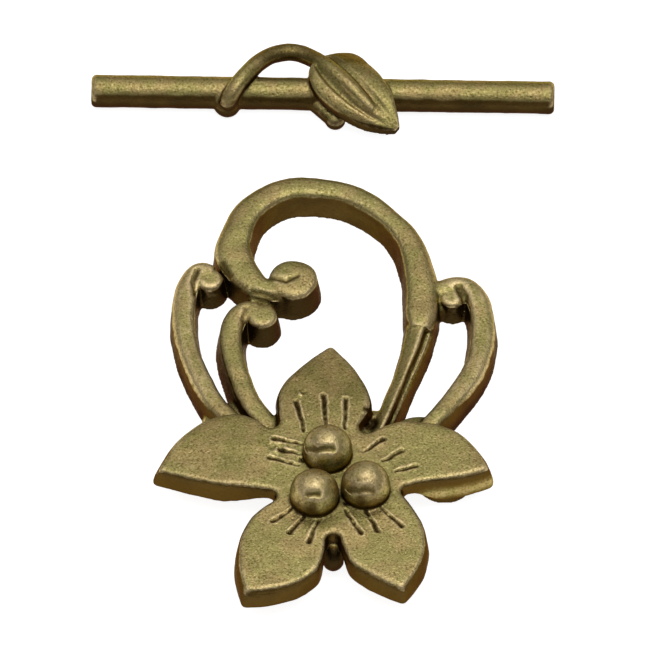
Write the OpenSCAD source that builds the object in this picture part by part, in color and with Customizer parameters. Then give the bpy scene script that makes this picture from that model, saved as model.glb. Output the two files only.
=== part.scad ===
// Toggle clasp of two castings. The ring half is a scrolled loop that grows out from under a
// flower of five petals. The bar half is a rod with a vine and a leaf wound round its middle.
// Both lie on the plane z = 0, the bar behind the loop. All sizes are in millimetres.

/* [Layout] */
// Distance of the rod's axis behind the top of the loop
bar_gap = 8.3; // [6:0.1:14]
// Turn of the bar as it lies, clockwise seen from above
bar_turn = 1.1; // [0:0.1:4]
// How far the flower's centre lies to the right of the middle of the bar
flower_offset = 1; // [-3:0.1:3]

/* [Loop and scrolls] */
// Width over the centre lines of the two outer scrolls
scroll_span = 21.8; // [18:0.2:28]
// Length from the flower's centre to the centre line of the loop's top
loop_reach = 28.3; // [25:0.2:36]
// Width of a scroll at its back
arm_w = 2.3; // [1.9:0.05:2.8]
// Height of a scroll at its crown
arm_h = 2.4; // [2:0.05:3]
// How much a scroll's face stands in from its back, on each side
arm_draft = 0.36; // [0.2:0.02:0.5]
// Diameter of the big bud that ends the loop, at its back
bud_d = 4.1; // [3.4:0.05:4.6]
// Height of the big bud
bud_h = 2.6; // [2.2:0.05:3]
// Diameter of the buds that end the side scrolls, at the back
side_bud_d = 2.5; // [2.2:0.05:2.9]

/* [Flower] */
// Reach of an average petal from the flower's centre, on its face
petal_reach = 12; // [10.5:0.1:13.5]
// Width of an average petal, on its face
petal_w = 7.5; // [6.5:0.1:8.5]
// Thickness of the petals
petal_t = 1.5; // [1.2:0.05:2.2]
// How far the petals' tips flare out from face to back
petal_draft = 0.46; // [0.2:0.02:0.5]
// Distance from the flower's centre to a notch between petals
notch_reach = 5; // [4.5:0.1:5.8]
// Depth to which the scrolls are sunk into the back of the petals
petal_seat = 0.35; // [0.25:0.05:0.5]
// Diameter of the three seed beads
bead_d = 3.6; // [3:0.1:4.2]
// Height of a bead's centre above the face
bead_lift = 0.8; // [0.4:0.1:1.2]
// Width of an engraved stamen
stamen_w = 0.36; // [0.3:0.02:0.5]
// Depth of an engraved stamen
stamen_depth = 0.14; // [0.1:0.02:0.16]

/* [Cord loop] */
// Diameter of the hole for the cord or jump ring
cord_hole = 1.2; // [1:0.05:1.4]
// Thickness of the metal round the hole
cord_wall = 0.7; // [0.6:0.05:1]
// Width of the cord loop along its hole
cord_loop_w = 1.5; // [1.2:0.1:2]
// How far the middle of the hole lies out from the root of the notch
cord_out = 0.2; // [0:0.1:0.6]

/* [Bar] */
// Length of the bar
bar_len = 34; // [28:0.5:44]
// Diameter of the rod
bar_d = 2.4; // [2:0.1:3]
// Rounding of the rod's ends
bar_round = 0.35; // [0.15:0.05:0.6]
// Diameter of the vine
vine_d = 1.3; // [1.1:0.05:1.6]
// Reach of the vine's arch behind the rod's axis
arch_reach = 3.3; // [3:0.1:4.2]
// Length of the vine along the rod, from its start to the end of the midrib
vine_len = 10.8; // [9.5:0.1:13]
// Length of the leaf
leaf_len = 8.4; // [7.5:0.1:10]
// Width of the leaf
leaf_w = 4.7; // [4:0.1:5.5]
// Thickness of the leaf at its edge
leaf_t = 0.95; // [0.8:0.05:1.2]

/* [Hidden] */

bronze = [0.52, 0.46, 0.28];
// Cuts run past the faces that they open
overcut = 1;
// Room between the cord's hole and the back of the petals
cord_clear = 0.1;
// Points that follow a curve between two rows of a table
steps = 3;

// Columns of the scroll tables: place across the clasp as a share of scroll_span, place along
// it as a share of loop_reach, width as a share of arm_w and height as a share of arm_h.
// Places are measured from the flower's centre, and each scroll starts under the flower.
ACROSS = 0;
ALONG = 1;
WIDE = 2;
HIGH = 3;
LOOP = [
    [ 0.050, 0.071, 0.82, 0.96],
    [ 0.120, 0.172, 0.82, 1.00],
    [ 0.165, 0.263, 0.84, 1.00],
    [ 0.200, 0.342, 0.87, 1.00],
    [ 0.232, 0.419, 0.93, 1.00],
    [ 0.262, 0.500, 1.04, 1.00],
    [ 0.281, 0.578, 1.18, 1.00],
    [ 0.284, 0.659, 1.22, 1.00],
    [ 0.274, 0.740, 1.15, 1.00],
    [ 0.242, 0.826, 1.02, 1.00],
    [ 0.179, 0.899, 0.92, 0.98],
    [ 0.100, 0.956, 0.98, 0.98],
    [ 0.013, 0.990, 1.02, 0.98],
    [-0.115, 1.004, 1.07, 0.98],
    [-0.212, 0.984, 1.09, 0.98],
    [-0.298, 0.924, 1.13, 0.98],
    [-0.338, 0.840, 1.24, 1.00],
    [-0.343, 0.786, 1.38, 1.00],
    [-0.310, 0.725, 1.26, 1.00],
    [-0.262, 0.680, 1.04, 1.00],
    [-0.200, 0.665, 0.94, 1.00],
    [-0.148, 0.673, 0.86, 1.00],
];
OUTER_SCROLL = [
    [-0.100, 0.051, 0.78, 0.96],
    [-0.220, 0.142, 0.82, 0.98],
    [-0.318, 0.215, 0.86, 0.98],
    [-0.400, 0.295, 0.87, 0.96],
    [-0.449, 0.376, 0.88, 0.94],
    [-0.487, 0.461, 0.90, 0.92],
    [-0.508, 0.556, 0.91, 0.90],
    [-0.508, 0.637, 0.92, 0.90],
    [-0.489, 0.697, 0.95, 0.92],
    [-0.452, 0.733, 0.98, 0.94],
    [-0.405, 0.741, 0.94, 0.94],
];
INNER_SCROLL = [
    [-0.080, 0.071, 0.80, 0.96],
    [-0.170, 0.162, 0.86, 1.00],
    [-0.235, 0.238, 0.94, 1.00],
    [-0.285, 0.295, 0.96, 1.00],
    [-0.322, 0.372, 0.97, 1.00],
    [-0.345, 0.445, 0.98, 1.00],
    [-0.354, 0.517, 1.00, 1.00],
    [-0.338, 0.571, 0.98, 1.00],
    [-0.305, 0.599, 0.92, 1.00],
    [-0.265, 0.604, 0.82, 1.00],
];
RIGHT_SCROLL = [
    [ 0.100, 0.041, 0.80, 0.96],
    [ 0.200, 0.122, 0.86, 0.98],
    [ 0.284, 0.204, 0.82, 0.96],
    [ 0.370, 0.295, 0.88, 0.94],
    [ 0.430, 0.372, 0.95, 0.90],
    [ 0.470, 0.445, 0.96, 0.88],
    [ 0.486, 0.520, 0.98, 0.86],
    [ 0.486, 0.587, 0.97, 0.86],
    [ 0.468, 0.644, 0.97, 0.87],
    [ 0.433, 0.681, 0.94, 0.88],
    [ 0.393, 0.688, 0.88, 0.88],
    [ 0.355, 0.680, 0.80, 0.88],
];
// Half of a scroll's section, from the foot of its wall to the crown: how much of the draft
// it stands in, how much of the width is left after that, and its share of the height.
IN = 0;
LEFT = 1;
RISE = 2;
ARM_EDGE = [
    [0.0, 1.00, 0.00],
    [0.8, 1.00, 0.70],
    [1.0, 0.90, 0.88],
    [1.0, 0.55, 0.97],
];

// Buds of the side scrolls: place as in the scroll tables, diameter as a share of side_bud_d
// and height as a share of arm_h.
SIDE_BUDS = [
    [-0.425, 0.698, 0.92, 0.84],
    [-0.241, 0.581, 1.10, 0.94],
    [ 0.395, 0.650, 1.00, 0.76],
];
BIG_BUD = [-0.145, 0.694];

// Low webs of metal left between the scrolls where they touch and where they pass under the
// petals: place as in the scroll tables, radius as a share of arm_w and height as a share of arm_h.
WEBS = [
    [-0.363, 0.261, 0.83, 0.56],
    [ 0.277, 0.189, 1.05, 0.78],
    [ 0.118, 0.239, 0.65, 0.74],
    [ 0.360, 0.103, 0.96, 0.90],
    [-0.256, 0.640, 0.42, 0.70],
    [ 0.335, 0.650, 0.46, 0.60],
];
// Boss under the flower where the scrolls run together, as shares of notch_reach and arm_h
boss = [0.66, 0.96];

// Columns of the petal table: direction in degrees, reach as a share of petal_reach, then
// for the left and the right side, seen from the centre, the width as a share of petal_w,
// where the side is widest, and where its shoulder lies, both as shares of the petal's reach.
TURN = 0;
REACH = 1;
SIDE_W = [2, 5];
SIDE_AT = [3, 6];
SHOULDER = [4, 7];
PETALS = [
    [  6.7, 0.925, 0.67, 0.47, 0.92, 0.10, 0.50, 0.88],
    [ 91.8, 1.06, 0.54, 0.60, 0.77, 0.36, 0.56, 0.75],
    [175.0, 1.09, 0.13, 0.58, 0.69, 0.77, 0.565, 0.855],
    [236.0, 0.99, 0.44, 0.60, 0.81, 0.455, 0.50, 0.76],
    [296.0, 0.90, 0.535, 0.47, 0.82, 0.31, 0.61, 0.72],
];
// Share of a petal's side after which its tip is rounded
tip_start = 0.96;
// Notch that follows each petal: direction in degrees, reach as a share of notch_reach, and
// how far its round bottom runs on to each side, in degrees
RUNS = [2, 3];
NOTCHES = [
    [ 67, 1.00, 60, 85],
    [130, 1.36, 60, 75],
    [194, 0.90, 70, 65],
    [267, 0.94, 85, 70],
    [351, 0.95, 60, 60],
];
// Row of the notch above the cord loop
CORD_NOTCH = 3;
// Radius of a notch, as a share of notch_reach
notch_r = 0.108;
// Rim of the petals from the back to the face: how much of the draft it stands out, and its
// share of the thickness
PETAL_EDGE = [
    [1.00, 0.00],
    [0.42, 0.80],
    [0.24, 0.94],
    [0.00, 1.00],
];

// Beads: place from the flower's centre as shares of bead_d
BEADS = [
    [-0.19, 0.655],
    [-0.45, -0.47],
    [ 0.58, -0.27],
];
// Stamens: direction of the inner end, its reach, direction and reach of the outer end, with
// both reaches as shares of petal_reach
STAMENS = [
    [ 54, 0.27,  49, 0.43],
    [ 28, 0.32,  31, 0.46],
    [ 12, 0.36,  14, 0.49],
    [117, 0.43, 112, 0.66],
    [ 99, 0.41,  97, 0.66],
    [ 83, 0.40,  85, 0.63],
    [126, 0.35, 139, 0.50],
    [136, 0.29, 145, 0.42],
    [152, 0.26, 156, 0.45],
    [218, 0.35, 218, 0.49],
    [234, 0.33, 234, 0.48],
    [249, 0.32, 250, 0.49],
    [283, 0.22, 290, 0.42],
    [307, 0.29, 303, 0.45],
    [322, 0.34, 319, 0.52],
];

// Columns of the vine table: place along the rod as a share of vine_len, place across it as
// a share of arch_reach, height of the centre as a share of bar_d, and diameter as a share of
// vine_d. Places are measured from the middle of the rod.
VINE = [
    [-0.660, -0.42, 0.64, 0.84],
    [-0.640, -0.39, 0.80, 0.98],
    [-0.600, -0.22, 1.06, 1.00],
    [-0.541, 0.06, 1.15, 1.00],
    [-0.470, 0.42, 1.08, 1.00],
    [-0.385, 0.77, 0.94, 1.00],
    [-0.285, 0.98, 0.82, 1.00],
    [-0.185, 1.00, 0.80, 1.00],
    [-0.090, 0.82, 0.88, 1.00],
    [ 0.000, 0.50, 1.02, 0.98],
    [ 0.090, 0.15, 1.11, 0.92],
    [ 0.185, -0.20, 1.11, 0.80],
    [ 0.285, -0.54, 0.98, 0.62],
    [ 0.345, -0.72, 0.86, 0.45],
];
vine_sides = 10;
// Round foot that the vine starts from in front of the rod, as a row of the vine table
FOOT = [-0.657, -0.26, 0.42, 1.40];
// End of the vine that comes out low in front of the rod: its start and its tip, with places
// and diameter as in the vine table
TAIL = [
    [-0.03, -0.20, 0.44, 0.80],
    [ 0.100, -0.62, 0.22, 0.78],
];

// Columns of the leaf table: place along it as a share of leaf_len, reach of its left edge, of
// its right edge and of the midrib to the left of the leaf's axis as shares of leaf_w, and
// the share of the thickness
PLACE = 0;
LEFT_EDGE = 1;
RIGHT_EDGE = 2;
MIDRIB = 3;
THICK = 4;
LEAF = [
    [-0.08, 0.03, -0.03,  0.00, 0.90],
    [-0.04, 0.44, -0.24, -0.01, 1.00],
    [ 0.02, 0.59, -0.36, -0.04, 1.00],
    [ 0.12, 0.61, -0.47, -0.08, 1.00],
    [ 0.25, 0.54, -0.52, -0.11, 1.00],
    [ 0.38, 0.50, -0.51, -0.13, 1.00],
    [ 0.50, 0.44, -0.46, -0.13, 1.00],
    [ 0.62, 0.37, -0.39, -0.11, 0.96],
    [ 0.74, 0.26, -0.29, -0.08, 0.86],
    [ 0.84, 0.15, -0.17, -0.04, 0.72],
    [ 0.92, 0.05, -0.05,  0.00, 0.60],
];
// Height of the midrib above the leaf's back as a share of leaf_t
leaf_crown = 1.10;
// Leaf's section from its right edge over the midrib to the left edge: share of the way from
// the midrib to the edge, and height above the leaf's back as a share of leaf_t
LEAF_SECTION = [
    [-1.00, 0.00],
    [-1.00, 0.62],
    [-0.88, 0.86],
    [-0.60, 1.08],
    [-0.47, 0.92],
    [ 0.00, leaf_crown],
    [ 0.29, 0.92],
    [ 0.40, 1.08],
    [ 0.88, 0.86],
    [ 1.00, 0.62],
    [ 1.00, 0.00],
];
// Where the leaf's base sits, as shares of vine_len and arch_reach, and its direction
leaf_base = [0.0, 0.54];
leaf_turn = -44;
// Height of the leaf's back where it crosses the rod, as a share of bar_d, and how much it
// bends down away from the rod, as a share of the square of its distance
leaf_lift = 0.90;
leaf_bend = 0.095;

petal_back = arm_h - petal_seat;
petal_face = petal_back + petal_t;

// Direction of an angle in the plane
function along(angle) = [cos(angle), sin(angle)];

// Vector of length one
function unit(v) = v / norm(v);

// Row of a table at a place between rows, on a smooth curve through them all
function row_at(rows, place) =
    let (
        last = len(rows) - 1,
        i = min(floor(place), last - 1),
        t = place - i,
        a = rows[max(i - 1, 0)],
        b = rows[i],
        c = rows[i + 1],
        d = rows[min(i + 2, last)]
    )
    b + (c - a) * t / 2 + (2 * a - 5 * b + 4 * c - d) * t * t / 2
        + (3 * b - a - 3 * c + d) * t * t * t / 2;

// Rows of a table with more rows put between them
function smooth(rows) =
    [for (k = [0:(len(rows) - 1) * steps]) row_at(rows, k / steps)];

// Direction of travel at one point of a route
function heading(route, i) =
    unit(route[min(i + 1, len(route) - 1)] - route[max(i - 1, 0)]);

// Point between two points
function lerp(a, b, share) = a + (b - a) * share;

// Point of the curve from a to c that leaves a towards b
function on_bend(a, b, c, t) = lerp(lerp(a, b, t), lerp(b, c, t), t);

// Points of that curve, both ends with them
function bend(a, b, c, count) = [for (k = [0:count]) on_bend(a, b, c, k / count)];

// Closed skin over a row of flat rings with the same number of points each, which run
// clockwise seen from the first ring's far side
module skin(rings) {
    sides = len(rings[0]);
    last = len(rings) - 1;
    polyhedron(
        points = [for (ring = rings) each ring],
        faces = concat(
            [[for (s = [sides - 1:-1:0]) s]],
            [[for (s = [0:sides - 1]) last * sides + s]],
            [for (r = [0:last - 1], s = [0:sides - 1])
                let (a = r * sides + s, b = r * sides + (s + 1) % sides)
                [a, b, b + sides]],
            [for (r = [0:last - 1], s = [0:sides - 1])
                let (a = r * sides + s, b = r * sides + (s + 1) % sides)
                [a, b + sides, a + sides]]
        )
    );
}

// Place of a scroll table's row on the plane
function spot(row) = [row[ACROSS] * scroll_span, row[ALONG] * loop_reach];

// One ring of a scroll: up the right wall, over the crown and down the left wall
function arm_ring(route, rows, i) =
    let (
        way = heading(route, i),
        side = [way.y, -way.x],
        half = rows[i][WIDE] * arm_w / 2,
        high = rows[i][HIGH] * arm_h,
        right = [for (e = ARM_EDGE) [(half - e[IN] * arm_draft) * e[LEFT], e[RISE] * high]],
        left = [for (k = [len(right) - 1:-1:0]) [-right[k].x, right[k].y]],
        section = concat(right, [[0, high]], left)
    )
    [for (p = section) [route[i].x + side.x * p.x, route[i].y + side.y * p.x, p.y]];

// A scroll that lies flat on its back
module scroll(table) {
    rows = smooth(table);
    route = [for (row = rows) spot(row)];
    skin([for (i = [0:len(rows) - 1]) arm_ring(route, rows, i)]);
}

// Round bud with a drafted wall and a low crown
module bud(d, h) {
    r = d / 2;
    rotate_extrude($fn = 48)
        polygon(concat(
            [[0, 0]],
            [for (e = ARM_EDGE) [(r - e[IN] * arm_draft) * e[LEFT], e[RISE] * h]],
            [[0, h]]
        ));
}

module side_buds() {
    for (row = SIDE_BUDS)
        translate(spot(row))
            bud(row[WIDE] * side_bud_d, row[HIGH] * arm_h);
}

module webs() {
    for (row = WEBS)
        translate(spot(row))
            cylinder(r = row[WIDE] * arm_w, h = row[HIGH] * arm_h, $fn = 48);
    cylinder(r = boss.x * notch_reach, h = boss.y * arm_h, $fn = 64);
}

// Points of one side of a petal from its notch to its tip, side 0 left and side 1 right
function petal_side(petal, side, notch) =
    let (
        reach = petal[REACH] * petal_reach,
        out = along(petal[TURN]),
        across = (side == 0 ? 1 : -1) * [-out.y, out.x] * petal[SIDE_W[side]] * petal_w,
        widest = out * petal[SIDE_AT[side]] * reach + across,
        shoulder = out * petal[SHOULDER[side]] * reach + across,
        belly = lerp(lerp(notch, widest, 0.5), widest - out * (widest - notch) * out / 2, 0.5),
        tip = out * reach,
        curve = bend(widest, lerp(widest, shoulder, tip_start),
            on_bend(widest, shoulder, tip, tip_start), 6)
    )
    concat(bend(notch, belly, widest, 4), [for (k = [1:6]) curve[k]]);

// Points round the bottom of a notch, from the petal before it to the petal after it
function notch_round(notch) =
    let (
        r = notch_r * notch_reach,
        centre = along(notch[TURN]) * (notch[REACH] * notch_reach + r)
    )
    [for (k = [0:4])
        centre - r * along(notch[TURN] + lerp(notch[RUNS[0]], -notch[RUNS[1]], k / 4))];

// Outline of the flower's face, all round
function flower_outline() =
    let (last = len(PETALS) - 1)
    [for (i = [0:last])
        let (
            before = notch_round(NOTCHES[i == 0 ? last : i - 1]),
            after = notch_round(NOTCHES[i]),
            tip = along(PETALS[i][TURN]) * PETALS[i][REACH] * petal_reach,
            right = petal_side(PETALS[i], 1, before[len(before) - 1]),
            left = petal_side(PETALS[i], 0, after[0]),
            round = bend(right[len(right) - 1], tip, left[len(left) - 1], 4)
        )
        each concat(
            [for (k = [1:len(right) - 1]) right[k]],
            [for (k = [1:3]) round[k]],
            [for (k = [len(left) - 1:-1:1]) left[k]],
            after
        )];

// Plate of all the petals. Its wall leans out from the face to the back, most at the tips.
module petals() {
    lean = petal_draft / petal_reach;
    for (k = [0:len(PETAL_EDGE) - 2]) {
        low = 1 + PETAL_EDGE[k].x * lean;
        high = 1 + PETAL_EDGE[k + 1].x * lean;
        translate([0, 0, petal_back + PETAL_EDGE[k].y * petal_t])
            linear_extrude(height = (PETAL_EDGE[k + 1].y - PETAL_EDGE[k].y) * petal_t,
                scale = high / low)
                polygon(flower_outline() * low);
    }
}

module beads() {
    for (place = BEADS)
        translate(concat(place * bead_d, petal_face + bead_lift))
            sphere(d = bead_d, $fn = 64);
}

// One engraved line with a round end
module stamen(row) {
    from = along(row[0]) * row[1] * petal_reach;
    to = along(row[2]) * row[3] * petal_reach;
    r = stamen_w / 2;
    lift = r - stamen_depth;
    start = concat(from, petal_face + lift);
    end = concat(to, petal_face + lift);
    way = end - start;
    translate(start)
        rotate([0, acos(way.z / norm(way)), atan2(way.y, way.x)])
            cylinder(r = r, h = norm(way), $fn = 24);
    translate(end)
        sphere(r = r * 1.15, $fn = 24);
}

// Moves its children to the middle of the cord loop's hole, and turns up to across
module at_cord_hole() {
    notch = NOTCHES[CORD_NOTCH];
    root = along(notch[TURN]) * notch[REACH] * notch_reach;
    translate([root.x, root.y - cord_out, petal_back - cord_hole / 2 - cord_clear])
        rotate([0, 90, 0])
            children();
}

// Loop on the back of the flower, with a round rim, where a notch gives the cord room
module cord_loop() {
    r = cord_loop_w / 2;
    at_cord_hole()
        rotate_extrude($fn = 48)
            polygon(concat(
                [[0, -r]],
                [for (turn = [-90:22.5:90])
                    [cord_hole / 2 + cord_wall - r + r * cos(turn), r * sin(turn)]],
                [[0, r]]
            ));
}

module cord_bore() {
    at_cord_hole()
        cylinder(d = cord_hole, h = cord_loop_w + 2 * overcut, center = true, $fn = 64);
}

// Scrolls with the buds that end them and the webs that join them
module scrollwork() {
    union() {
        scroll(LOOP);
        scroll(OUTER_SCROLL);
        scroll(INNER_SCROLL);
        scroll(RIGHT_SCROLL);
    }
    translate(spot(BIG_BUD))
        bud(bud_d, bud_h);
    side_buds();
    webs();
}

// Petals with the beads on them and the cord loop behind them
module flower() {
    difference() {
        union() {
            petals();
            beads();
            cord_loop();
        }
        for (row = STAMENS)
            stamen(row);
    }
}

// Whole ring half, with the flower's centre at the origin
module ring_half() {
    difference() {
        union() {
            scrollwork();
            flower();
        }
        cord_bore();
    }
}

module rod() {
    r = bar_d / 2;
    half = bar_len / 2;
    translate([0, 0, r])
        rotate([0, 90, 0])
            rotate_extrude($fn = 64)
                polygon(concat(
                    [[0, -half]],
                    [for (turn = [0:22.5:90])
                        [r - bar_round + bar_round * sin(turn),
                            -half + bar_round - bar_round * cos(turn)]],
                    [for (turn = [0:22.5:90])
                        [r - bar_round + bar_round * cos(turn),
                            half - bar_round + bar_round * sin(turn)]],
                    [[0, half]]
                ));
}

// Place of a vine table's row in space
function vine_spot(row) = [row[0] * vine_len, row[1] * arch_reach, row[2] * bar_d];

function vine_ring(route, rows, i) =
    let (
        way = heading(route, i),
        side = unit(cross(way, [0, 0, 1])),
        up = cross(side, way),
        r = rows[i][3] * vine_d / 2
    )
    [for (k = [0:vine_sides - 1])
        let (turn = 360 * k / vine_sides)
        route[i] + r * (side * cos(turn) + up * sin(turn))];

module vine() {
    rows = smooth(VINE);
    route = [for (row = rows) vine_spot(row)];
    skin([for (i = [0:len(rows) - 1]) vine_ring(route, rows, i)]);
    translate(vine_spot(FOOT))
        sphere(d = FOOT[3] * vine_d, $fn = 32);
}

// Low end of the vine in front of the rod
module vine_tail() {
    start = vine_spot(TAIL[0]);
    end = vine_spot(TAIL[1]);
    way = end - start;
    translate(start)
        rotate([0, acos(way.z / norm(way)), atan2(way.y, way.x)])
            cylinder(d1 = TAIL[0][3] * vine_d, d2 = TAIL[1][3] * vine_d * 0.96,
                h = norm(way), $fn = 32);
    translate(end)
        sphere(d = TAIL[1][3] * vine_d, $fn = 32);
}

// One ring across the leaf, bent down over the rod
function leaf_ring(row) =
    let (
        out = along(leaf_turn),
        across = [-out.y, out.x],
        foot = [leaf_base.x * vine_len, leaf_base.y * arch_reach],
        at = foot + out * row[PLACE] * leaf_len
    )
    [for (p = LEAF_SECTION)
        let (
            edge = p.x > 0 ? row[LEFT_EDGE] : row[RIGHT_EDGE],
            q = at + across * lerp(row[MIDRIB], edge, abs(p.x)) * leaf_w,
            crown = leaf_lift * bar_d + leaf_crown * leaf_t - leaf_bend * q.y * q.y
        )
        [q.x, q.y, crown - row[THICK] * (leaf_crown - p.y) * leaf_t]];

module leaf() {
    rows = smooth(LEAF);
    skin([for (row = rows) leaf_ring(row)]);
}

// Whole bar half, with the middle of the rod above the origin
module bar_half() {
    rod();
    vine();
    vine_tail();
    leaf();
}

// Depth of the clasp from the lowest petal's tip to the far side of the arch
front = -min([for (p = flower_outline()) p.y]) * (1 + petal_draft / petal_reach);
bar_y = loop_reach + arm_w / 2 + bar_gap;
back = bar_y + arch_reach + vine_d / 2;
// Place of the flower's centre that puts the middle of the whole clasp at the origin
flower_at = [flower_offset, (front - back) / 2, 0];

module flower_ring() {
    color(bronze)
        translate(flower_at)
            ring_half();
}

module toggle_bar() {
    color(bronze)
        translate([0, flower_at.y + bar_y, 0])
            rotate([0, 0, -bar_turn])
                bar_half();
}

flower_ring();
toggle_bar();
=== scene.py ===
import math

import bpy
import numpy as np
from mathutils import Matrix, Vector, noise


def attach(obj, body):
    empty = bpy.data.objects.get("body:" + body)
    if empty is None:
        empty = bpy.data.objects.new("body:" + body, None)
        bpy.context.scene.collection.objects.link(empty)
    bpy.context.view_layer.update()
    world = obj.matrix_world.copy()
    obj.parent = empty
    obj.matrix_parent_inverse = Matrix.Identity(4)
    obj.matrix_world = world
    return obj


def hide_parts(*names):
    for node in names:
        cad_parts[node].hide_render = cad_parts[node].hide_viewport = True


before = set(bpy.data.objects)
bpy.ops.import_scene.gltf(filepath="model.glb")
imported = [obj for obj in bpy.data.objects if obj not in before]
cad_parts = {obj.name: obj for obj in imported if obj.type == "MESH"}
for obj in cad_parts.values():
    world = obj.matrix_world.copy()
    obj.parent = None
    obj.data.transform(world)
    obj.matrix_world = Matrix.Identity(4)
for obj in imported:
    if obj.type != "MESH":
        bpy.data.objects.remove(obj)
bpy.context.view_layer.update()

# Scrolls of the ring half. The four scrolls are cast in zinc alloy, flat on their backs, and
# start together under the flower. Their walls lean in as the mould's do, with rounded crowns.
# Lengths are millimetres until the finished casting is set down in metres.
MM = 0.001
flower_centre = np.array([1.0, -15.7395])
scroll_span = 21.8
loop_reach = 28.3
arm_w = 2.3
arm_h = 2.4
arm_draft = 0.36

# Columns: place across as a share of scroll_span, along as a share of loop_reach, both from the
# flower's centre, width as a share of arm_w and height as a share of arm_h.
LOOP_FOOT = [
    [0.050, 0.071, 0.82, 0.88],
    [0.120, 0.172, 0.82, 0.90],
    [0.165, 0.263, 0.84, 0.90],
    [0.200, 0.342, 0.87, 0.90],
    [0.232, 0.419, 0.93, 0.91],
    [0.262, 0.500, 1.04, 0.92],
    [0.281, 0.570, 1.14, 0.92],
]
LOOP = [
    [0.276, 0.543, 0.88, 0.96],
    [0.281, 0.578, 1.16, 1.00],
    [0.284, 0.659, 1.22, 1.00],
    [0.274, 0.740, 1.15, 1.00],
    [0.242, 0.826, 1.02, 1.00],
    [0.179, 0.899, 0.92, 0.98],
    [0.100, 0.956, 0.98, 0.98],
    [0.013, 0.990, 1.02, 0.98],
    [-0.115, 1.004, 1.07, 0.98],
    [-0.212, 0.984, 1.09, 0.98],
    [-0.298, 0.924, 1.13, 0.98],
    [-0.338, 0.840, 1.24, 1.00],
    [-0.343, 0.786, 1.38, 1.00],
    [-0.310, 0.725, 1.26, 1.00],
    [-0.262, 0.680, 1.04, 1.00],
    [-0.200, 0.665, 0.94, 1.00],
    [-0.148, 0.673, 0.86, 1.00],
]
OUTER_SCROLL = [
    [-0.100, 0.051, 0.78, 0.96],
    [-0.220, 0.142, 0.82, 0.98],
    [-0.318, 0.215, 0.86, 0.98],
    [-0.400, 0.295, 0.87, 0.96],
    [-0.449, 0.376, 0.88, 0.94],
    [-0.487, 0.461, 0.90, 0.92],
    [-0.508, 0.556, 0.91, 0.90],
    [-0.508, 0.637, 0.92, 0.90],
    [-0.489, 0.697, 0.95, 0.92],
    [-0.456, 0.728, 0.94, 0.94],
    [-0.418, 0.722, 0.82, 0.94],
]
INNER_SCROLL = [
    [-0.080, 0.071, 0.80, 0.96],
    [-0.170, 0.162, 0.86, 1.00],
    [-0.235, 0.238, 0.94, 1.00],
    [-0.285, 0.295, 0.96, 1.00],
    [-0.322, 0.372, 0.97, 1.00],
    [-0.345, 0.445, 0.98, 1.00],
    [-0.354, 0.517, 1.00, 1.00],
    [-0.338, 0.571, 0.98, 1.00],
    [-0.305, 0.599, 0.92, 1.00],
    [-0.265, 0.604, 0.82, 1.00],
]
RIGHT_SCROLL = [
    [0.100, 0.041, 0.80, 0.96],
    [0.200, 0.122, 0.86, 0.98],
    [0.284, 0.204, 0.82, 0.96],
    [0.370, 0.295, 0.88, 0.94],
    [0.430, 0.372, 0.95, 0.90],
    [0.470, 0.445, 0.96, 0.88],
    [0.486, 0.520, 0.98, 0.86],
    [0.486, 0.587, 0.97, 0.86],
    [0.468, 0.644, 0.97, 0.87],
    [0.433, 0.681, 0.94, 0.88],
    [0.393, 0.688, 0.86, 0.88],
    [0.355, 0.680, 0.80, 0.87],
    [0.322, 0.668, 0.76, 0.86],
]


# Sections: share of the half width, share of the draft that the point stands in, and share of
# the height. The first three are halves, from the foot up to the middle of the crown: the steep
# wall is high, the soft one rounds off lower, and the round half, with a low crown, is a bud's.
# The ridged section is whole, from left to right. It is that of the loop's foot, with its ridge,
# then a narrow groove and a flank.
def half_section(wall_rise, fullness, lean, points=10):
    """From the foot of the wall up to the middle of the crown."""
    half = [(1.0, 0.0, 0.0), (1.0, 0.6 * lean, 0.6 * wall_rise)]
    for k in range(points + 1):
        turn = math.radians(90 * k / points)
        across = math.cos(turn) ** (2 / fullness)
        rise = wall_rise + (1 - wall_rise) * math.sin(turn) ** (2 / fullness)
        half.append((across, lean, rise))
    return half


def section_of(left, right):
    return [(-x, lean, z) for x, lean, z in left] + right[-2::-1]


STEEP = half_section(0.70, 2.9, 0.8)
SOFT = half_section(0.58, 2.7, 0.40)
ROUND = half_section(0.76, 3.6, 0.8)
RIDGED = [
    (-1.00, 0.0, 0.00),
    (-1.00, 0.5, 0.40),
    (-1.00, 0.8, 0.62),
    (-0.90, 0.8, 0.78),
    (-0.60, 0.8, 0.88),
    (-0.10, 0.8, 0.96),
    (0.22, 0.8, 1.00),
    (0.40, 0.8, 0.97),
    (0.50, 0.8, 0.82),
    (0.58, 0.8, 0.66),
    (0.68, 0.8, 0.64),
    (0.84, 0.8, 0.72),
    (1.00, 0.8, 0.60),
    (1.00, 0.5, 0.40),
    (1.00, 0.0, 0.00),
]
ring_parts = []


def curve_through(rows, steps=6):
    rows = np.array(rows, float)
    last = len(rows) - 1
    made = []
    for k in range(last * steps + 1):
        i = min(k // steps, last - 1)
        t = k / steps - i
        a, b, c, d = rows[max(i - 1, 0)], rows[i], rows[i + 1], rows[min(i + 2, last)]
        made.append(
            b
            + (c - a) * t / 2
            + (2 * a - 5 * b + 4 * c - d) * t**2 / 2
            + (3 * b - a - 3 * c + d) * t**3 / 2
        )
    return np.array(made)


def skin(rings):
    """Points and faces of a closed skin over a row of rings with the same number of points."""
    rings = np.array(rings)
    count, sides = rings.shape[:2]
    faces = [list(range(sides))[::-1], [(count - 1) * sides + s for s in range(sides)]]
    for r in range(count - 1):
        for s in range(sides):
            a, b = r * sides + s, r * sides + (s + 1) % sides
            faces.append([a, b, b + sides, a + sides])
    return rings.reshape(-1, 3), faces


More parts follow.
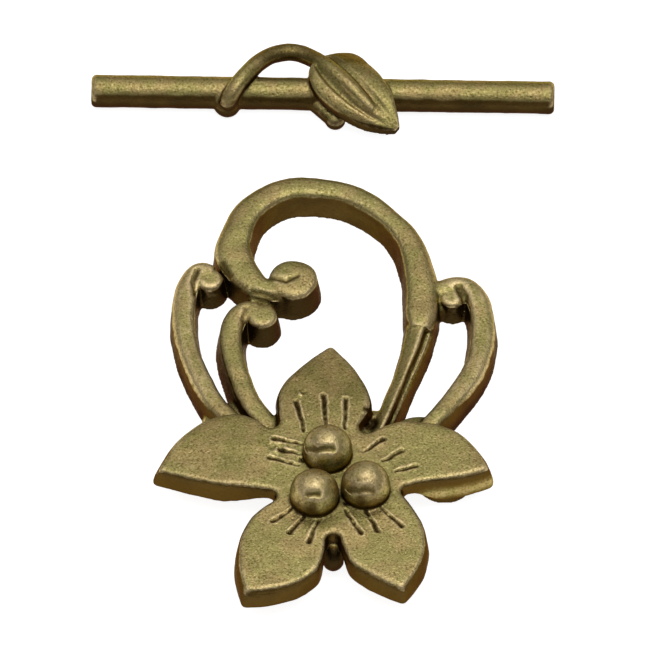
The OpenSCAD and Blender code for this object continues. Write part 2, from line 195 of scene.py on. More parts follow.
def headings(route):
    way = np.gradient(route, axis=0)
    return way / np.linalg.norm(way, axis=1)[:, None]


def scroll(rows, section):
    rows = curve_through(rows)
    route = rows[:, :2] * [scroll_span, loop_reach] + flower_centre
    rings = []
    for row, at, way in zip(rows, route, headings(route)):
        side = np.array([way[1], -way[0]])
        half, high = row[2] * arm_w / 2, row[3] * arm_h
        ring = []
        for share, lean, rise in section:
            across = share * (half - lean * arm_draft)
            ring.append([*(at + side * across), rise * high])
        rings.append(ring)
    return skin(rings)


# A scroll is steep on the side that it curls to, and soft on its outer side. The inner scroll,
# which lies between two others, is steep on both.
ring_parts.append(scroll(LOOP_FOOT, RIDGED))
ring_parts.append(scroll(LOOP, section_of(STEEP, SOFT)))
ring_parts.append(scroll(OUTER_SCROLL, section_of(SOFT, STEEP)))
ring_parts.append(scroll(INNER_SCROLL, section_of(STEEP, STEEP)))
ring_parts.append(scroll(RIGHT_SCROLL, section_of(STEEP, SOFT)))

# Buds that end the scrolls, and the low webs and the boss between the scrolls. They come out of
# the mould with the scrolls: the buds are round with a low crown, the webs are flat metal.
bud_d = 4.1
bud_h = 2.6
side_bud_d = 2.5
BUDS = [
    [-0.145, 0.694, bud_d, bud_h],
    [-0.425, 0.702, 1.02 * side_bud_d, 0.93 * arm_h],
    [-0.249, 0.579, 1.12 * side_bud_d, 1.00 * arm_h],
    [0.388, 0.650, 0.98 * side_bud_d, 0.84 * arm_h],
]
WEBS = [
    [-0.363, 0.261, 0.83, 0.56],
    [0.277, 0.189, 1.05, 0.78],
    [0.118, 0.239, 0.65, 0.74],
    [0.360, 0.103, 0.96, 0.90],
    [-0.256, 0.640, 0.42, 0.70],
    [0.335, 0.650, 0.46, 0.60],
]
boss_r = 3.3
boss_h = 2.3


def turned(profile, at, around=48):
    """A closed turned form. profile holds radius and height from the bottom up."""
    rings = []
    for r, z in profile:
        ring = []
        for k in range(around):
            turn = 2 * math.pi * k / around
            ring.append([at[0] + r * math.cos(turn), at[1] + r * math.sin(turn), at[2] + z])
        rings.append(ring)
    return skin(rings)


def spot(across, along_share):
    x, y = flower_centre + [across * scroll_span, along_share * loop_reach]
    return [x, y, 0.0]


for across, along_share, d, h in BUDS:
    profile = []
    for share, lean, rise in ROUND:
        profile.append((max(share * (d / 2 - lean * arm_draft), 0.01), rise * h))
    ring_parts.append(turned(profile, spot(across, along_share)))
for across, along_share, r_share, h_share in WEBS:
    r, h = r_share * arm_w, h_share * arm_h
    ring_parts.append(
        turned([(r, 0), (r, 0.6 * h), (0.86 * r, 0.9 * h), (0.6 * r, h)], spot(across, along_share))
    )
ring_parts.append(
    turned([(boss_r, 0), (boss_r, boss_h - 0.2), (boss_r - 0.2, boss_h)], spot(0, 0))
)

# Petals. The five petals are one thick plate of the same cast metal, on top of the boss, with
# sharp tips and drafted walls. It is thinner at the notches and thicker in the petals' middles,
# and its face is nearly flat with a worn round rim.
petal_reach = 12.0
petal_w = 7.5
petal_t = 1.5
petal_draft = 0.46
notch_reach = 5.0
petal_back = 2.05
petal_face = 3.64
petal_dome = 0.20
rim_r = 0.38
# Share of the draft by which the rim stands out
rim_draft = 0.20
notch_t = 0.72
# How far beyond the notches the plate has its full thickness, and where the petals swell, as a
# share of petal_reach, and over what width
full_from_notch = 3.0
swell_at = 0.66
swell_w = 3.0
# Degrees from a petal's middle between which its extra thickness fades out
belly_fade = (10, 52)
plate_voxel = 0.12
outline_step = 0.14
# Wall from the back up to the rim: share of the draft by which it stands out, and share of the
# thickness
PETAL_WALL = [(0.55, 0.0), (0.84, 0.06), (1.0, 0.16), (0.92, 0.35), (0.70, 0.58), (0.45, 0.78)]
# How much thicker each petal is than the plate, as shares of the plate's thickness: all over and
# in its middle, in the order of the table below
PETAL_BELLY = [(0.42, 0.22), (0.12, 0.0), (0.20, 0.15), (0.16, 0.05), (0.12, 0.06)]
# Columns: direction in degrees, reach as a share of petal_reach, then for the left and the right
# side the width as a share of petal_w, and where it is widest and where its shoulder lies.
PETALS = [
    [6.7, 0.925, (0.67, 0.47, 0.92), (0.10, 0.50, 0.88)],
    [91.8, 1.06, (0.54, 0.60, 0.77), (0.36, 0.56, 0.75)],
    [175.0, 1.09, (0.13, 0.58, 0.69), (0.77, 0.565, 0.855)],
    [236.0, 0.99, (0.44, 0.60, 0.81), (0.455, 0.50, 0.76)],
    [296.0, 0.90, (0.535, 0.47, 0.82), (0.31, 0.61, 0.72)],
]
# Notch after each petal: direction in degrees, reach as a share of notch_reach, and how far its
# round bottom runs on to each side, in degrees
NOTCHES = [
    [67, 1.00, 60, 85],
    [130, 1.36, 60, 75],
    [194, 0.90, 70, 65],
    [267, 0.94, 85, 70],
    [351, 0.95, 60, 60],
]
notch_r = 0.108 * notch_reach
tip_start = 0.96


def along(degrees):
    return np.array([math.cos(math.radians(degrees)), math.sin(math.radians(degrees))])


def on_bend(a, b, c, t):
    ab, bc = a + (b - a) * t, b + (c - b) * t
    return ab + (bc - ab) * t


def bend(a, b, c, count):
    return [on_bend(a, b, c, k / count) for k in range(count + 1)]


def petal_side(petal, side, notch):
    turn, reach_share, left, right = petal
    width, widest_at, shoulder_at = (left, right)[side]
    reach, out = reach_share * petal_reach, along(turn)
    across = (1, -1)[side] * np.array([-out[1], out[0]]) * width * petal_w
    widest = out * widest_at * reach + across
    shoulder = out * shoulder_at * reach + across
    middle, inner = (notch + widest) / 2, widest - out * ((widest - notch) @ out) / 2
    belly = (middle + inner) / 2
    last = widest + (shoulder - widest) * tip_start
    curve = bend(widest, last, on_bend(widest, shoulder, out * reach, tip_start), 16)
    return bend(notch, belly, widest, 12) + curve[1:]


def notch_round(notch):
    turn, share, before, after = notch
    centre = along(turn) * (share * notch_reach + notch_r)
    return [
        centre - notch_r * along(turn + before + (-after - before) * k / 12)
        for k in range(13)
    ]


def flower_outline(spacing):
    """Points round the flower's face at an even spacing."""
    points = []
    for i, petal in enumerate(PETALS):
        before, after = notch_round(NOTCHES[i - 1]), notch_round(NOTCHES[i])
        right = petal_side(petal, 1, before[-1])
        left = petal_side(petal, 0, after[0])
        tip = along(petal[0]) * petal[1] * petal_reach
        points += right[1:] + bend(right[-1], tip, left[-1], 8)[1:-1] + left[:0:-1] + after
    points = np.array(points)
    ahead = np.roll(points, -1, axis=0)
    run = np.concatenate([[0], np.cumsum(np.linalg.norm(ahead - points, axis=1))])
    closed = np.vstack([points, points[:1]])
    places = np.linspace(0, run[-1], int(run[-1] / spacing), endpoint=False)
    return np.stack([np.interp(places, run, closed[:, k]) for k in range(2)], 1)


def eased(values, low, high):
    t = np.clip((values - low) / (high - low), 0, 1)
    return t * t * (3 - 2 * t)


def inward(outline):
    way = np.roll(outline, -4, axis=0) - np.roll(outline, 4, axis=0)
    way /= np.linalg.norm(way, axis=1)[:, None]
    return np.stack([-way[:, 1], way[:, 0]], 1)


def solid_mesh(name, parts):
    """One Blender mesh of several closed skins."""
    points, faces, base = [], [], 0
    for part_points, part_faces in parts:
        points.append(part_points)
        faces += [[i + base for i in face] for face in part_faces]
        base += len(part_points)
    mesh = bpy.data.meshes.new(name)
    mesh.from_pydata(np.vstack(points).tolist(), [], faces)
    return mesh


def with_modifier(mesh, kind, **settings):
    """The mesh after one modifier, as a new mesh."""
    piece = bpy.data.objects.new("work", mesh)
    bpy.context.scene.collection.objects.link(piece)
    modifier = piece.modifiers.new(kind, kind)
    for key, value in settings.items():
        setattr(modifier, key, value)
    graph = bpy.context.evaluated_depsgraph_get()
    made = bpy.data.meshes.new_from_object(piece.evaluated_get(graph))
    bpy.data.objects.remove(piece)
    bpy.data.meshes.remove(mesh)
    return made


def points_of(mesh):
    values = np.empty(len(mesh.vertices) * 3, np.float32)
    mesh.vertices.foreach_get("co", values)
    return values.reshape(-1, 3).astype(float)


def set_points(mesh, points):
    mesh.vertices.foreach_set("co", points.astype(np.float32).ravel())
    mesh.update()


def petal_plate():
    outline = flower_outline(outline_step)
    lean = petal_draft / petal_reach
    towards = inward(outline)
    rings = []
    for draft_share, rise in PETAL_WALL:
        flat = outline * (1 + draft_share * lean)
        rings.append(np.column_stack([flat, np.full(len(flat), petal_back + rise * petal_t)]))
    for turn in (0, 22.5, 45, 67.5, 90):
        flat = outline * (1 + rim_draft * lean) + towards * (
            rim_r * (1 - math.cos(math.radians(turn)))
        )
        high = petal_face - rim_r + rim_r * math.sin(math.radians(turn))
        rings.append(np.column_stack([flat, np.full(len(flat), high)]))
    points, faces = skin(rings)
    plate = with_modifier(
        solid_mesh("plate", [(points, faces)]), "REMESH", mode="VOXEL", voxel_size=plate_voxel
    )
    points = points_of(plate)
    radius = np.linalg.norm(points[:, :2], axis=1)
    outer = eased(radius, notch_reach, notch_reach + full_from_notch)
    share = notch_t + (1 - notch_t) * outer
    middle = np.exp(-(((radius - swell_at * petal_reach) / swell_w) ** 2))
    for petal, (belly, swell) in zip(PETALS, PETAL_BELLY):
        ahead = points[:, :2] @ along(petal[0]) / radius.clip(0.1)
        beside = np.degrees(np.arccos(np.clip(ahead, -1, 1)))
        share += (belly * outer + swell * middle) * (1 - eased(beside, *belly_fade))
    points[:, 2] = petal_face - (petal_face - points[:, 2]) * share
    points[:, 2] -= petal_dome * (radius / petal_reach) ** 2
    points[:, :2] += flower_centre
    faces = [list(face.vertices) for face in plate.polygons]
    bpy.data.meshes.remove(plate)
    return points, faces


ring_parts.append(petal_plate())

# Seed beads. They are three balls of the same metal, cast with the petals. They stand close
# together in the flower's middle and sink about 1 mm into the plate.
bead_d = 3.6
bead_lift = 0.71
BEADS = [
    [-0.19, 0.655],
    [-0.45, -0.47],
    [0.58, -0.27],
]
for place in BEADS:
    r = bead_d / 2
    profile = []
    for k in range(25):
        turn = math.radians(-90 + 180 * k / 24)
        profile.append((max(r * math.cos(turn), 0.005), r * math.sin(turn)))
    middle = [*(flower_centre + np.array(place) * bead_d), petal_face + bead_lift]
    ring_parts.append(turned(profile, middle, 64))

# Cord loop on the back of the flower, in the lowest notch. It is cast with the petals, with its
# hole along the clasp's width, and the cord or a jump ring goes through it.
cord_hole = 1.2
cord_wall = 0.7
cord_loop_w = 1.5
cord_out = 0.2
cord_clear = 0.1


def cord_loop():
    turn, share = NOTCHES[3][:2]
    root = flower_centre + along(turn) * share * notch_reach
    middle = np.array([root[0], root[1] - cord_out, petal_back - cord_hole / 2 - cord_clear])
    half = cord_loop_w / 2
    inner, outer = cord_hole / 2, cord_hole / 2 + cord_wall
    section = [(inner, -half + 0.2), (inner, half - 0.2), (inner + 0.2, half)]
    for k in range(9):
        lean = math.radians(90 - 180 * k / 8)
        section.append((outer - half + half * math.cos(lean), half * math.sin(lean)))
    section.append((inner + 0.2, -half))
    points, faces, around = [], [], 48
    for k in range(around):
        spin = 2 * math.pi * k / around
        for r, x in section:
            points.append(middle + [x, r * math.cos(spin), r * math.sin(spin)])
    sides = len(section)
    for k in range(around):
        for s in range(sides):
            a, b = k * sides + s, k * sides + (s + 1) % sides
            after = (k + 1) % around * sides - k * sides
            faces.append([a, b, b + after, a + after])
    return np.array(points), faces


ring_parts.append(cord_loop())

# The ring half's casting. What comes out of the mould is one piece of zinc alloy: the forms
# above run into each other with soft fillets, the stamens are cut into the petals, and the
# surface is uneven.
ring_voxel = 0.085
stamen_w = 0.23
stamen_depth = 0.16
stamen_wobble = 0.09
stamen_lip = 0.018
stamen_ink = 0.9
# Columns: direction in degrees and reach as a share of petal_reach, first of the inner end and
# then of the outer end
STAMENS = [
    [54, 0.27, 49, 0.43],
    [28, 0.32, 31, 0.46],
    [12, 0.36, 14, 0.49],
    [117, 0.43, 112, 0.66],
    [99, 0.41, 97, 0.66],
    [83, 0.40, 85, 0.63],
    [126, 0.35, 139, 0.50],
    [136, 0.29, 145, 0.42],
    [152, 0.26, 156, 0.45],
    [218, 0.35, 218, 0.49],
    [234, 0.33, 234, 0.48],
    [249, 0.32, 250, 0.49],
    [283, 0.22, 290, 0.42],
    [307, 0.29, 303, 0.45],
    [322, 0.34, 319, 0.52],
]
# The most triangles that a finished casting keeps
most_triangles = 190000


class Metal:
    """The surface of one casting as arrays, to soften, fill and press it."""

    def __init__(self, parts, voxel):
        self.mesh = with_modifier(
            solid_mesh("casting", parts), "REMESH", mode="VOXEL", voxel_size=voxel
        )
        self.points = points_of(self.mesh)
        edges = np.empty(len(self.mesh.edges) * 2, np.int32)
        self.mesh.edges.foreach_get("vertices", edges)
        self.edges = edges.reshape(-1, 2)
        self.count = np.bincount(edges, minlength=len(self.points)).clip(1)
        corners = np.empty(len(self.mesh.polygons) * 4, np.int32)
        self.mesh.polygons.foreach_get("vertices", corners)
        self.quads = corners.reshape(-1, 4)
        # how much stain the tool's cuts hold
        self.inked = np.zeros(len(self.points))

    def average(self, values):
        """Mean of each point's neighbours, of one column or several."""
        a, b = self.edges.T
        size = len(self.points)
        columns = []
        for column in values.reshape(size, -1).T:
            total = np.bincount(a, column[b], size) + np.bincount(b, column[a], size)
            columns.append(total / self.count)
        return np.stack(columns, 1).reshape(values.shape)

    def normals(self):
        p, q = self.points, self.quads
        face = np.cross(p[q[:, 2]] - p[q[:, 0]], p[q[:, 3]] - p[q[:, 1]])
        total = np.zeros_like(p)
        for corner in range(4):
            for k in range(3):
                total[:, k] += np.bincount(q[:, corner], face[:, k], len(p))
        return total / np.linalg.norm(total, axis=1).clip(1e-12)[:, None]

    def soften(self, rounds):
        for _ in range(rounds):
            self.points += 0.5 * (self.average(self.points) - self.points)

    def fill(self, rounds):
        """Raises the bottoms of sharp inner corners, as a mould leaves them."""
        for _ in range(rounds):
            step = self.average(self.points) - self.points
            rise = (step * self.normals()).sum(1)
            self.points += 0.6 * step * (rise > 0)[:, None]

    def hollowness(self, rounds):
        """How far the surface lies under its own average: positive in hollows."""
        smooth = self.points.copy()
        for _ in range(rounds):
            smooth += 0.6 * (self.average(smooth) - smooth)
        return ((smooth - self.points) * self.normals()).sum(1)

    def uneven(self, size, height):
        normals = self.normals()
        bumps = np.array([noise.noise(Vector(p / size)) for p in self.points])
        self.points += normals * (bumps * height)[:, None]

    def finished(self, name, wear_and_light_of):
        """The mesh in metres with its wear and painted light: rubbed edges with painted highlight,
        hollows, and how dark the stain and the painted shade are.
        """
        stain_and_shade, rub_and_highlight = wear_and_light_of(self.normals(), self.points)
        wear_and_light = {"edge": rub_and_highlight * self.hollowness(12), "dell": self.hollowness(50), "stain_and_shade": stain_and_shade}
        for key, values in wear_and_light.items():
            layer = self.mesh.attributes.new(key, "FLOAT", "POINT")
            layer.data.foreach_set("value", values.astype(np.float32))
        set_points(self.mesh, self.points)
        share = min(1.0, most_triangles / (2 * len(self.quads)))
        made = with_modifier(self.mesh, "DECIMATE", ratio=share)
        set_points(made, points_of(made) * MM)
        made.polygons.foreach_set("use_smooth", [True] * len(made.polygons))
        made.name = name
        return made


def from_segment(points, start, end):
    """Distance of each point on the plane from a line, and how far along the line it is."""
    way = end - start
    share = np.clip(((points - start) @ way) / (way @ way), 0, 1)
    return np.linalg.norm(points - start - share[:, None] * way, axis=1), share


ring = Metal(ring_parts, ring_voxel)
ring.soften(3)
ring.fill(10)
ring.soften(1)


def wobble(points, size):
    """A smooth uneven shift for each point of the plane, between about -1 and 1."""
    shifts = []
    for x, y in points / size:
        shifts.append([noise.noise(Vector((x, y, 0.0))), noise.noise(Vector((x, y, 7.3)))])
    return np.array(shifts)


def cut_stamens(metal):
    flat = metal.points[:, :2] - flower_centre
    radius = np.linalg.norm(flat, axis=1)
    face = petal_face - petal_dome * (radius / petal_reach) ** 2
    near = (metal.normals()[:, 2] > 0.6) & (np.abs(metal.points[:, 2] - face) < 0.3) & (radius < 9)
    near = np.nonzero(near)[0]
    flat = flat[near] + stamen_wobble * wobble(flat[near], 0.7)
    rough = wobble(flat, 0.35)[:, 0]
    for turn_a, reach_a, turn_b, reach_b in STAMENS:
        start, end = along(turn_a) * reach_a * petal_reach, along(turn_b) * reach_b * petal_reach
        away, share = from_segment(flat, start, end)
        width = stamen_w / 2 * (0.7 + 0.5 * share)
        cut = np.exp(-((away / width) ** 2)) * (0.55 + 0.45 * share + 0.5 * rough)
        lip = np.exp(-(((away - 2.2 * width) / (0.8 * width)) ** 2)) * (1 + rough)
        dot = np.exp(-((np.linalg.norm(flat - end, axis=1) / 0.15) ** 2))
        metal.points[near, 2] += stamen_lip * lip - stamen_depth * np.maximum(cut, 0.8 * dot)
        held = np.clip(0.6 + 0.4 * share + rough, 0, 1)
        ink = stamen_ink * np.exp(-((away / (0.75 * width)) ** 2)) * held
        metal.inked[near] = np.maximum(metal.inked[near], ink)


cut_stamens(ring)

# Creases left by the modeller's tool where a bud or a hook meets its neighbour, and one fold on
# each bead: points of each line on the plane, from the middle of the clasp, and its depth
CREASES = [
    ([(-3.79, 3.90), (-2.70, 3.50), (-1.90, 4.00)], 0.14),
    ([(9.78, 3.40), (10.20, 2.48), (10.30, 1.37)], 0.16),
    ([(10.05, 3.50), (10.50, 2.62), (10.62, 1.50)], 0.10),
    ([(-9.19, 4.81), (-9.50, 3.79), (-9.34, 2.68)], 0.18),
    ([(-7.59, 5.38), (-7.08, 4.17)], 0.16),
    ([(-7.30, 5.55), (-6.79, 4.35)], 0.10),
    ([(-5.60, 1.10), (-5.85, 0.20), (-5.70, -0.60)], 0.12),
    ([(-1.10, -18.50), (-0.32, -18.52)], 0.22),
    ([(1.75, -17.70), (2.60, -17.98), (3.60, -18.00)], 0.18),
    ([(-1.45, -13.75), (-0.40, -14.40), (0.75, -14.40)], 0.20),
    ([(-5.18, 2.88), (-3.43, 2.32)], 0.14),
    ([(-4.96, 2.14), (-3.28, 1.67)], 0.12),
]
crease_w = 0.20
crease_ink = 0.42


def press_creases(metal):
    upward = metal.normals()[:, 2] > 0.35
    flat = metal.points[:, :2]
    for line, depth in CREASES:
        away = np.full(len(flat), 9.0)
        for start, end in zip(line[:-1], line[1:]):
            away = np.minimum(away, from_segment(flat, np.array(start), np.array(end))[0])
        pressed = upward * np.exp(-((away / crease_w) ** 2))
        metal.points[:, 2] -= depth * pressed
        metal.inked = np.maximum(metal.inked, crease_ink * eased(pressed, 0.2, 0.9))


press_creases(ring)

# Crumpled spots, where the mould has torn or the tool has slipped: place on the plane, radius
# and height of the roughness. They lie in the notch beside the loop's foot, on the top petal and
# by the left stamens.
CRUMPLES = [
    [3.45, -9.10, 0.85, 0.06],
    [-1.53, -7.62, 0.55, 0.13],
    [-3.10, -12.60, 1.30, 0.07],
]
crumple_size = 0.42


def crumple(metal):
    normals = metal.normals()
    for x, y, radius, height in CRUMPLES:
        away = np.linalg.norm(metal.points[:, :2] - [x, y], axis=1)
        near = np.nonzero((away < radius) & (metal.points[:, 2] > 1.2))[0]
        fade = 1 - eased(away[near], 0.4 * radius, radius)
        rough = np.array([noise.noise(Vector(p / crumple_size)) for p in metal.points[near]])
        metal.points[near] += normals[near] * (rough * fade * height)[:, None]


crumple(ring)
# Bumps of the whole surface, from coarse to fine: size and height
RING_BUMPS = [(3.1, 0.07), (1.3, 0.045), (0.45, 0.014)]
for bump_size, bump_height in RING_BUMPS:
    ring.uneven(bump_size, bump_height)

# Antique bronze finish of both castings: brass plate, stained dark brown, tumbled so that crowns
# and rims are rubbed pale, with olive left on the faces and dark metal in walls and hollows.
# The pale rims also carry painted highlight, and the dark walls and shaded places painted shade.
# It is matt and has the fine grain of the mould, with small pits.
pale_brass = (0.66, 0.51, 0.26)
olive = (0.36, 0.31, 0.105)
warm = (0.42, 0.315, 0.125)
brown = (0.092, 0.054, 0.013)
dark = (0.034, 0.021, 0.007)
# Sizes in metres, because the finished mesh is in metres
grain_size = 0.00013
speck_size = 0.00017
pit_size = 0.0006
patch_size = 0.0022


def antique_bronze():
    finish = bpy.data.materials.new("antique_bronze")
    finish.use_nodes = True
    tree = finish.node_tree
    nodes, links = tree.nodes, tree.links
    nodes.clear()

    def node(kind, **settings):
        made = nodes.new(kind)
        for key, value in settings.items():
            setattr(made, key, value)
        return made

    def feed(source, target):
        links.new(source, target)

    place = node("ShaderNodeTexCoord").outputs["Object"]

    def speckle(size, detail, roughness=0.55):
        made = node("ShaderNodeTexNoise")
        made.inputs["Scale"].default_value = 1 / size
        made.inputs["Detail"].default_value = detail
        made.inputs["Roughness"].default_value = roughness
        feed(place, made.inputs["Vector"])
        return made.outputs["Fac"]

    def ramp(source, low, high, to_low=0.0, to_high=1.0):
        made = node("ShaderNodeMapRange", interpolation_type="SMOOTHSTEP")
        feed(source, made.inputs["Value"])
        for key, value in (
            ("From Min", low),
            ("From Max", high),
            ("To Min", to_low),
            ("To Max", to_high),
        ):
            made.inputs[key].default_value = value
        return made.outputs["Result"]

    def blended(share, under, over):
        made = node("ShaderNodeMix", data_type="RGBA")
        feed(share, made.inputs[0])
        for k, colour in ((6, under), (7, over)):
            if isinstance(colour, tuple):
                made.inputs[k].default_value = (*colour, 1)
            else:
                feed(colour, made.inputs[k])
        return made.outputs[2]

    def maths(operation, a, b):
        made = node("ShaderNodeMath", operation=operation)
        for k, value in ((0, a), (1, b)):
            if isinstance(value, float):
                made.inputs[k].default_value = value
            else:
                feed(value, made.inputs[k])
        return made.outputs[0]

    edge = node("ShaderNodeAttribute", attribute_name="edge").outputs["Fac"]
    dell = node("ShaderNodeAttribute", attribute_name="dell").outputs["Fac"]
    stain_and_shade = node("ShaderNodeAttribute", attribute_name="stain_and_shade").outputs["Fac"]

    patches = speckle(patch_size, 3)
    grain = speckle(grain_size, 2, 0.6)
    specks = speckle(speck_size, 2)

    face = blended(ramp(patches, 0.42, 0.62), olive, warm)
    face = blended(ramp(specks, 0.54, 0.70, 0.0, 0.60), face, pale_brass)
    face = blended(ramp(specks, 0.46, 0.32, 0.0, 0.60), face, brown)
    stain_and_shade = maths("MULTIPLY", stain_and_shade, ramp(patches, 0.25, 0.75, 1.0, 0.85))
    # stain with painted shade: walls and shaded places go brown, then dark
    colour = blended(ramp(stain_and_shade, 0.05, 0.60), face, brown)
    colour = blended(ramp(stain_and_shade, 0.55, 0.95), colour, dark)
    # painted highlight with the wear: rubbed rims go pale
    rim = maths("MULTIPLY", ramp(edge, -0.006, -0.035), ramp(specks, 0.30, 0.55, 0.45, 1.0))
    colour = blended(rim, colour, pale_brass)
    hollow = maths("MULTIPLY", ramp(dell, 0.02, 0.13), ramp(specks, 0.3, 0.6, 1.0, 0.75))
    colour = blended(hollow, colour, dark)

    shader = node("ShaderNodeBsdfPrincipled")
    feed(colour, shader.inputs["Base Color"])
    shader.inputs["Metallic"].default_value = 0.94
    shader.inputs["Specular Tint"].default_value = (0.50, 0.38, 0.20, 1)
    feed(ramp(specks, 0.3, 0.7, 0.46, 0.30), shader.inputs["Roughness"])

    pits = node("ShaderNodeTexVoronoi", feature="F1")
    pits.inputs["Scale"].default_value = 1 / pit_size
    feed(place, pits.inputs["Vector"])
    sunk = ramp(pits.outputs["Distance"], 0.05, 0.22)
    relief = maths("ADD", maths("MULTIPLY", grain, 0.75), maths("MULTIPLY", sunk, 0.35))
    bump = node("ShaderNodeBump")
    bump.inputs["Strength"].default_value = 0.8
    bump.inputs["Distance"].default_value = 0.00006
    feed(relief, bump.inputs["Height"])
    feed(bump.outputs["Normal"], shader.inputs["Normal"])
    feed(shader.outputs[0], node("ShaderNodeOutputMaterial").inputs[0])
    return finish


bronze = antique_bronze()


def show(mesh, name, cad_node):
    mesh.materials.clear()
    mesh.materials.append(bronze)
    piece = bpy.data.objects.new(name, mesh)
    bpy.context.scene.collection.objects.link(piece)
    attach(piece, "root")
    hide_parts(cad_node)
    return piece


# Stain that the faces keep everywhere; stain with painted shade that darkens the faces towards
# the loop and on the left; and the painted shade of the bead patches and of the beads' feet
face_stain = 0.07
loop_side_stain_and_shade = 0.24
left_stain_and_shade = 0.12
bead_patch_shade = 0.50
bead_foot_shade = 0.60
# Painted shade on the beads, as brown patches: place on the plane and radius
BEAD_SHADE_PATCHES = [
    [-1.55, -14.40, 1.10],
    [-0.55, -14.25, 0.80],
    [2.30, -17.55, 0.80],
    [3.10, -17.55, 0.70],
    [2.75, -18.40, 0.90],
    [-0.80, -19.30, 1.00],
]


def ring_wear_and_shade(normals, points):
    """How dark the stain and the painted shade are, and where the edges are rubbed pale, partly as
    painted highlight.
    """
    x, y, high = points.T
    in_petal = eased(high, petal_back - 1.0, petal_back - 0.7) * (1 - eased(y, -8.0, -6.0))
    facing = normals[:, 2]
    # stain with painted shade: surfaces that face sideways are dark, partly patina and partly painted
    # shade
    wall_stain_and_shade = 1 - eased(facing, 0.10 + 0.40 * in_petal, 0.66 + 0.18 * in_petal)
    # painted light: the outer sides of the scrolls are a little lighter, but not of the one inside the
    # others, which keeps its painted shade
    outward = (normals[:, :2] * points[:, :2]).sum(1)
    outward /= np.linalg.norm(points[:, :2], axis=1).clip(0.5)
    sheltered = (x > -8.0) & (x < 0) & (y < 1.5)
    wall_stain_and_shade *= 1 - 0.25 * (1 - in_petal) * ~sheltered * eased(outward, 0.1, 0.5) * eased(high, 0.3, 1.2)
    # painted highlight: the thick side of the right petal is lighter in a band at its middle
    side = eased(x, 6.0, 8.0) * (y < -13) * (y > -18) * (1 - eased(high, 2.5, 3.1))
    wall_stain_and_shade *= (1 - 0.25 * side) * (1 - 0.70 * side * np.exp(-(((high - 1.9) / 0.4) ** 2)))
    # petal walls are brown, and the walls at the top of the loop a little
    wall_stain_and_shade *= 1 - 0.30 * in_petal - 0.20 * (1 - in_petal) * eased(y, 4, 9)
    # beads: rubbed above, and painted shade in brown patches and dark where they meet the petals
    bead = eased(high, petal_face + 0.05, petal_face + 0.2)
    patch = np.zeros(len(points))
    for shade_x, shade_y, radius in BEAD_SHADE_PATCHES:
        away = np.hypot(x - shade_x, y - shade_y)
        patch = np.maximum(patch, bead_patch_shade * (1 - eased(away, 0.1 * radius, radius)))
    foot = bead_foot_shade * (1 - eased(high, petal_face + 0.1, petal_face + 1.2))
    wall_stain_and_shade = np.where(bead > 0, np.maximum(patch, foot), wall_stain_and_shade)
    # faces keep a little stain, and towards the loop and on the left they are darker with stain and
    # painted shade
    least_dark = face_stain + loop_side_stain_and_shade * eased(y, -14, -6) * eased(high, 2.7, 3.0)
    least_dark = least_dark + left_stain_and_shade * eased(-x, 2, 8) * (y < -8)
    # the crumpled spot beside the loop's foot is dark
    torn = np.linalg.norm(points[:, :2] - CRUMPLES[0][:2], axis=1)
    least_dark = np.maximum(least_dark * (bead == 0), 0.9 * (1 - eased(torn, 0.3, 0.8)))
    # painted shade: the cord loop, with the low metal beside it under the petals, is dark and never
    # rubbed
    loop_at = flower_centre + along(NOTCHES[3][0]) * notch_reach
    under_petal_shade = np.linalg.norm(points[:, :2] - loop_at, axis=1) < 2.2
    under_petal_shade = under_petal_shade * (1 - eased(high, petal_back + 0.45, petal_back + 0.7))
    # painted highlight with the wear: rubbed rims, paler still on the beads and on the crowns of the
    # outer scrolls
    rub_and_highlight = eased(high, 0.5, 1.3) * (1 - under_petal_shade)
    outer_scrolls = eased(np.abs(x), 7.0, 8.5) * (1 - in_petal)
    rub_and_highlight *= eased(facing, 0.3 * in_petal, 0.3 + 0.3 * in_petal) * (1 + 0.9 * bead + outer_scrolls)
    return np.maximum.reduce([wall_stain_and_shade, least_dark, under_petal_shade, ring.inked]), rub_and_highlight


show(ring.finished("ring_casting", ring_wear_and_shade), "ring_casting", "flower_ring")

# Rod of the bar half, a plain rod of cast zinc alloy with rounded ends. Places on the bar are
# measured from the middle of the rod on the plane, and the bar lies turned a little clockwise.
bar_len = 34.0
bar_d = 2.4
bar_round = 0.35
bar_turn = 1.1
bar_gap = 8.3
bar_centre = np.array([0.0, flower_centre[1] + loop_reach + arm_w / 2 + bar_gap])


def rod():
    r, half = bar_d / 2, bar_len / 2
    profile = [(0.01, -half)]
    for k in range(7):
        turn = math.radians(15 * k)
        profile.append(
            (r - bar_round + bar_round * math.sin(turn), -half + bar_round - bar_round * math.cos(turn))
        )
    for k in range(7):
        turn = math.radians(15 * k)
        profile.append(
            (r - bar_round + bar_round * math.cos(turn), half - bar_round + bar_round * math.sin(turn))
        )
    profile.append((0.01, half))
    points, faces = turned(profile, [0, 0, 0], 64)
    return points[:, [2, 1, 0]] * [1, 1, -1] + [0, 0, r], faces


bar_parts = [rod()]

# Vine of the bar half, cast with the rod. It climbs over the rod, makes the arch that the strand
# is tied to, runs on to the leaf as its midrib, and comes out again low in front of the rod.
vine_d = 1.3
arch_reach = 3.3
vine_len = 10.8
